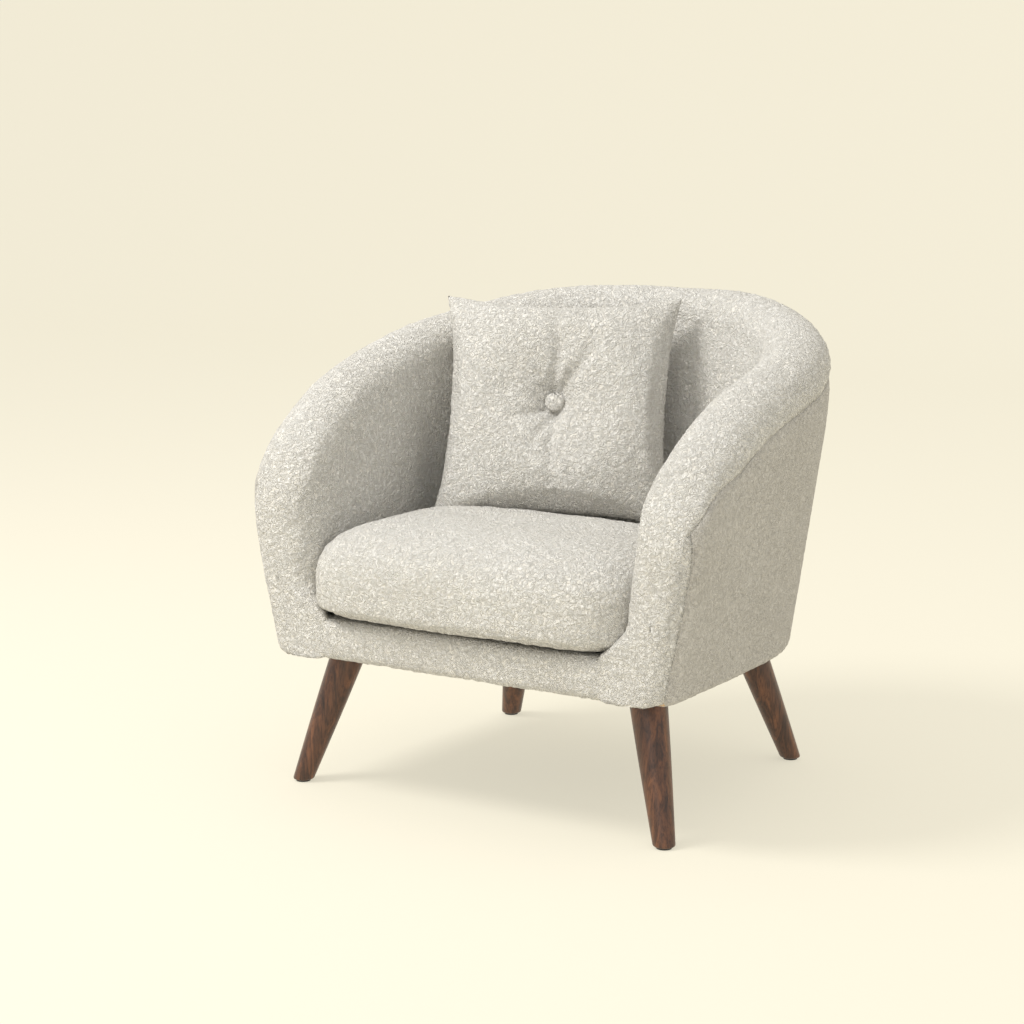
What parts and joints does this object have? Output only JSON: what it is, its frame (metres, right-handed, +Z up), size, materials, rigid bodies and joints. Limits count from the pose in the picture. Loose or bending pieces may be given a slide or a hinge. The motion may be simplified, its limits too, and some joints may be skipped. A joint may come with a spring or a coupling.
{
  "type": "upholstered tub armchair",
  "caption": "Low tub armchair with a barrel back, loose seat cushion, tufted square pillow and splayed tapered wooden legs.",
  "frame": {"origin": "on the floor under the middle of the chair's box", "axes": "+Z up, the chair faces -Y, +X to the right arm as seen from in front"},
  "size_m": [0.7964, 0.7267, 0.7363],
  "materials": {
    "boucle": "curly cream boucle",
    "outside_boucle": "flat cream boucle",
    "foam": "open-cell seat foam",
    "fibre_filling": "loose fibre filling",
    "frame_beech": "planed",
    "walnut": "dark satin lacquer",
    "zinc_steel": "zinc plated",
    "nylon": "moulded",
    "board": "fibreboard",
    "lining_cloth": "plain woven",
    "slider_metal": "tumbled"
  },
  "bodies": {
    "root": {"apron_cover": "boucle", "apron_pad": "foam", "arm_facing_left": "boucle", "arm_facing_right": "boucle", "arm_post_left": "frame_beech", "arm_post_right": "frame_beech", "back_uprights": "frame_beech", "backing_board": "board", "backing_burlap": "lining_cloth", "bent_top_rail": "frame_beech", "corner_blocks": "frame_beech", "cover_inside_and_roll": "boucle", "cover_outside": "outside_boucle", "deck_cloth": "lining_cloth", "deck_pad": "foam", "dust_cover": "lining_cloth", "front_post_left": "frame_beech", "front_post_right": "frame_beech", "front_rail": "frame_beech", "glide_front_left": "nylon", "glide_front_right": "nylon", "glide_rear_left": "nylon", "glide_rear_right": "nylon", "hanger_bolts": "zinc_steel", "leg_front_left": "walnut", "leg_front_right": "walnut", "leg_plates": "zinc_steel", "leg_rear_left": "walnut", "leg_rear_right": "walnut", "plate_screws": "zinc_steel", "rear_rail": "frame_beech", "side_rail_left": "frame_beech", "side_rail_right": "frame_beech", "sinuous_springs": "zinc_steel", "spring_clips": "zinc_steel", "spring_tie_wire": "zinc_steel", "staples": "zinc_steel", "wall_foam": "foam"},
    "seat_cushion": {"seat_cushion_cover": "boucle", "seat_cushion_foam": "foam", "seat_cushion_zip_tape": "lining_cloth"},
    "zip_slider": {"seat_cushion_zip_slider": "slider_metal"},
    "pillow": {"pillow_cover": "boucle", "pillow_filling": "fibre_filling", "pillow_front_button": "boucle", "pillow_rear_button": "boucle", "pillow_twine": "lining_cloth"}
  },
  "joints": [
    {"name": "seat_cushion_lift", "type": "slide", "parent": "root", "child": "seat_cushion", "axis": [0, 0, 1], "range_m": [0, 0.48]},
    {"name": "zip_slide", "type": "slide", "parent": "seat_cushion", "child": "zip_slider", "axis": [-1, 0, 0], "range_m": [0, 0.35]},
    {"name": "pillow_lift", "type": "slide", "parent": "seat_cushion", "child": "pillow", "axis": [0, 0, 1], "range_m": [0, 0.36]}
  ]
}
